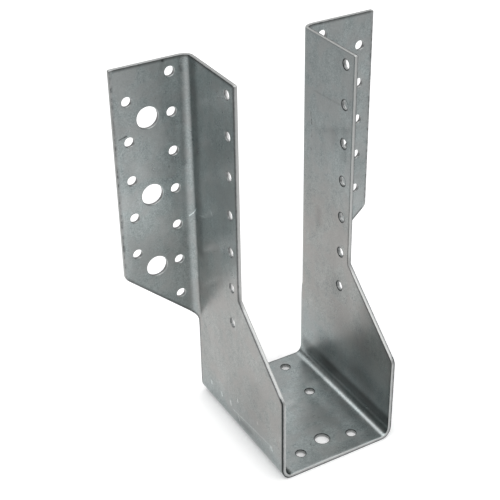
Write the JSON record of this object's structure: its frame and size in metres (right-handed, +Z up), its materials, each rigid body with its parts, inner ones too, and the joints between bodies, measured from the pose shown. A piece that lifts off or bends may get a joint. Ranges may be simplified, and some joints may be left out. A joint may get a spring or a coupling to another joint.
{
  "type": "joist hanger",
  "caption": "Face-fix joist hanger folded from one galvanised steel sheet: a seat, two nailing cheeks with sloped front edges, and two outward flanges with nail and bolt holes.",
  "frame": {"origin": "middle of the hanger's width and depth, on the underside of the seat, where it stands", "axes": "+Z up along the cheeks; +Y towards the header, square to the flanges; +X across the joist, to the right when the pocket is seen from the joist's side"},
  "size_m": [0.141, 0.085, 0.192],
  "materials": {
    "galvanised_steel": "dull galvanised sheet with cloudy zinc mottling, faint handling scratches and bright sheared edges"
  },
  "bodies": {
    "root": {"joist_hanger": "galvanised_steel"}
  },
  "joints": []
}
